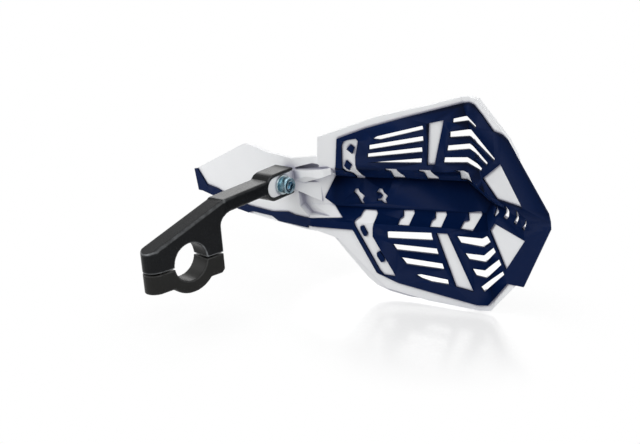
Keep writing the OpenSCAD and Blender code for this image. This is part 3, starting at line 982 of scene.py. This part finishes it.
@dataclass
class ClampArm:
    """The forked arm, the cap under the bar and the screws between them."""

    lug_end: float = 22.8 * MM
    lug_floor: float = -12.8 * MM
    lug_round: float = 2.2 * MM
    arm_grain: float = 0.42 * MM
    arm_rounds: int = 10
    cap_grain: float = 0.38 * MM
    cap_rounds: int = 5
    rear_screw: float = 20.6 * MM
    front_screw: float = 17.0 * MM
    head_seat: float = -7.5 * MM
    finishes: Finishes = field(default_factory=Finishes)

    def build(self) -> None:
        """Builds and dresses the arm, the cap and the two clamp screws."""
        arm = merged_copy("arm", "forked_arm")
        soften(arm, self.arm_grain, self.arm_rounds)
        dress(arm, self.finishes.black.build(), Slot.BLACK_METAL, "arm")
        cap = merged_copy("clamp_cap", "lower_clamp_cap")
        round_corner(cap, self.lug_end, self.lug_floor, self.lug_round)
        soften(cap, self.cap_grain, self.cap_rounds)
        dress(cap, self.finishes.cap.build(), Slot.BLACK_CAP, "clamp_cap")
        steel = self.finishes.steel.build()
        for name, along in (("rear", -self.rear_screw), ("front", self.front_screw)):
            screw = CapScrew(
                f"{name}_clamp_screw", shank=5 * MM, length=15.7 * MM, head=8.5 * MM, height=5 * MM,
                hexagon=4 * MM, thread=9 * MM,
            ).build()
            place(screw, Matrix.Translation((0, along, self.head_seat)))
            dress(screw, steel, Slot.STEEL, "clamp_screws")


@dataclass
class GuardBoltSet:
    """The bolt through the fork with its washers, sleeve and lock nut."""

    yaw: float = math.radians(10)
    bend: tuple[float, float] = (6.8 * MM, 26.8 * MM)
    along: float = 76.0 * MM
    height: float = 24.2 * MM
    head_x: float = 7.4 * MM
    nut_x: float = -8.0 * MM
    past_nut: float = 6.6 * MM
    washer_edge: float = 0.2 * MM
    sleeve_edge: float = 0.15 * MM
    finishes: Finishes = field(default_factory=Finishes)

    def axis(self, at: float, outward: bool) -> Matrix:
        """Places a fastener on the bolt's axis.

        Args:
            at: Distance from the arm's middle plane, outboard positive, in metres.
            outward: True if the fastener's +Z points outboard.

        Returns:
            The matrix from the fastener's own axes to the frame.
        """
        half, bend = self.bend
        shift = half * math.cos(self.yaw) + bend * math.sin(self.yaw) - half
        turn = Matrix.Rotation(math.radians(90 if outward else -90), 4, "Y")
        arm = Matrix.Rotation(self.yaw, 4, "Z") @ Matrix.Translation((shift, 0, 0))
        return arm @ Matrix.Translation((at, self.along, self.height)) @ turn

    def build(self) -> None:
        """Builds and dresses every piece on the bolt."""
        zinc = self.finishes.zinc.build()
        bright = self.finishes.washer_zinc.build()
        bolt = CapScrew(
            "guard_bolt_knurled", shank=6 * MM, length=self.head_x - self.nut_x + self.past_nut, head=9.6 * MM,
            height=5.2 * MM, hexagon=5 * MM, thread=8 * MM,
        ).build()
        place(bolt, self.axis(self.head_x, False))
        dress(bolt, zinc, Slot.ZINC, "guard_bolt")
        nut = LockNut("collar_lock_nut", flats=10 * MM, height=6 * MM, bore=6.3 * MM).build()
        place(nut, self.axis(self.nut_x, False))
        dress(nut, zinc, Slot.ZINC, "lock_nut")
        for node in ("bolt_washer", "nut_washer"):
            washer = merged_copy(node, f"{node}_stamped")
            round_edges(washer, self.washer_edge)
            dress(washer, bright, Slot.ZINC, node)
        sleeve = merged_copy("spacer_sleeve", "spacer_sleeve_turned")
        round_edges(sleeve, self.sleeve_edge)
        dress(sleeve, self.finishes.steel.build(), Slot.STEEL, "spacer_sleeve")


# Studio


@dataclass(frozen=True)
class Softbox:
    """A square soft light that faces the guard."""

    name: str
    at: tuple[float, float, float]
    size: float
    power: float
    target: tuple[float, float, float] = (0.05, 0.05, 0.0)

    def build(self) -> None:
        """Adds the light to the scene."""
        data = bpy.data.lights.new(self.name, "AREA")
        data.size = self.size
        data.energy = self.power
        lamp = bpy.data.objects.new(self.name, data)
        bpy.context.scene.collection.objects.link(lamp)
        lamp.location = self.at
        lamp.rotation_euler = (Vector(self.target) - Vector(self.at)).to_track_quat("-Z", "Y").to_euler()


@dataclass
class Studio:
    """White floor, soft lights and the camera at the photograph's angle."""

    eye: tuple[float, float, float] = (0.6251, -0.4136, 0.2687)
    right: tuple[float, float, float] = (0.653, 0.754, -0.074)
    up: tuple[float, float, float] = (-0.198, 0.264, 0.944)
    back: tuple[float, float, float] = (0.731, -0.602, 0.321)
    lens: float = 78.75
    sensor: float = 36.0
    floor_size: float = 6.0
    floor_gap: float = 1.2 * MM
    polish_centre: tuple[float, float, float] = (0.11, 0.112, -0.0396)
    polish_fade: tuple[float, float] = (30 * MM, 110 * MM)
    polish: float = 0.19
    shadow_reach: float = 60 * MM
    shadow: float = 0.55
    ambient: float = 0.3
    softboxes: tuple[Softbox, ...] = (
        Softbox("key_softbox", (-0.25, -0.7, 0.75), 0.9, 6.0),
        Softbox("outboard_softbox", (0.9, 0.15, 0.5), 0.7, 4.2),
        Softbox("right_softbox", (0.8, -0.8, 0.5), 0.7, 1.2),
        Softbox("left_softbox", (-0.8, -0.35, 0.3), 0.6, 1.3),
        Softbox("back_softbox", (-0.7, 0.6, 0.45), 0.5, 1.7, (0.0, 0.06, 0.02)),
    )

    def build(self) -> None:
        """Builds the floor, the lights and the camera."""
        scene = bpy.context.scene
        scene.view_settings.view_transform = "Standard"
        self.camera()
        self.floor()
        self.world()
        for softbox in self.softboxes:
            softbox.build()

    def camera(self) -> None:
        """Adds the camera, fitted to the clamp's edges in the photograph."""
        data = bpy.data.cameras.new("photo_camera")
        data.lens = self.lens
        data.sensor_width = self.sensor
        camera = bpy.data.objects.new("photo_camera", data)
        bpy.context.scene.collection.objects.link(camera)
        back = Vector(self.back).normalized()
        right = (Vector(self.right) - back * Vector(self.right).dot(back)).normalized()
        turn = Matrix((right, back.cross(right), back)).transposed().to_4x4()
        camera.matrix_world = Matrix.Translation(self.eye) @ turn
        bpy.context.scene.camera = camera

    def world(self) -> None:
        """Lights the scene evenly, and shows white to the camera and in reflections."""
        world = bpy.data.worlds.new("studio_world")
        world.use_nodes = True
        bpy.context.scene.world = world
        nodes, links = world.node_tree.nodes, world.node_tree.links
        nodes.clear()
        path = nodes.new("ShaderNodeLightPath")
        shown = path.outputs["Is Camera Ray"]
        for ray in ("Is Glossy Ray", "Is Transmission Ray"):
            either = nodes.new("ShaderNodeMath")
            either.operation = "MAXIMUM"
            links.new(shown, either.inputs[0])
            links.new(path.outputs[ray], either.inputs[1])
            shown = either.outputs[0]
        strength = nodes.new("ShaderNodeMapRange")
        strength.inputs["To Min"].default_value = self.ambient
        strength.inputs["To Max"].default_value = 1.0
        links.new(shown, strength.inputs["Value"])
        light = nodes.new("ShaderNodeBackground")
        light.inputs["Color"].default_value = (1, 1, 1, 1)
        links.new(strength.outputs[0], light.inputs["Strength"])
        out = nodes.new("ShaderNodeOutputWorld")
        links.new(light.outputs[0], out.inputs["Surface"])

    def floor(self) -> None:
        """Adds the white floor, which keeps a soft reflection and a faint shadow."""
        bpy.ops.object.select_all(action="DESELECT")
        low = cad_box[0][2] - self.floor_gap
        bpy.ops.mesh.primitive_plane_add(size=self.floor_size, location=(0, 0, low))
        floor = bpy.context.object
        floor.name = "studio_floor"
        shader = Shader("white_floor")
        camera = shader.node("ShaderNodeLightPath", {}, {}, "Is Camera Ray")
        white = shader.node("ShaderNodeEmission", {}, {"Color": (1, 1, 1, 1), "Strength": 1.0})
        gloss = shader.node("ShaderNodeBsdfGlossy", {}, {"Color": (1, 1, 1, 1), "Roughness": 0.2})
        matt = shader.node("ShaderNodeBsdfDiffuse", {}, {"Color": (0.95, 0.95, 0.95, 1)})
        span = {0: shader.place, 1: self.polish_centre}
        away = shader.node("ShaderNodeVectorMath", {"operation": "DISTANCE"}, span, "Value")
        polished = self.polish * (1.0 - away.band(*self.polish_fade))
        mirrored = shader.node("ShaderNodeMixShader", {}, {0: polished, 1: white, 2: gloss})
        shadowed = (self.shadow * shader.hollows(self.shadow_reach)).clamp()
        shown = shader.node("ShaderNodeMixShader", {}, {0: shadowed, 1: mirrored, 2: matt})
        shader.node_out(shader.node("ShaderNodeMixShader", {}, {0: camera, 1: matt, 2: shown}))
        floor.data.materials.append(shader.material)
        place(floor, Matrix.Identity(4))


def main() -> None:
    """Builds the guard's pieces and the studio."""
    logging.basicConfig(level=logging.INFO, format="%(message)s")
    Studio().build()
    ClampArm().build()
    MouldedGuard().build()
    GuardBoltSet().build()


if __name__ == "__main__":
    main()
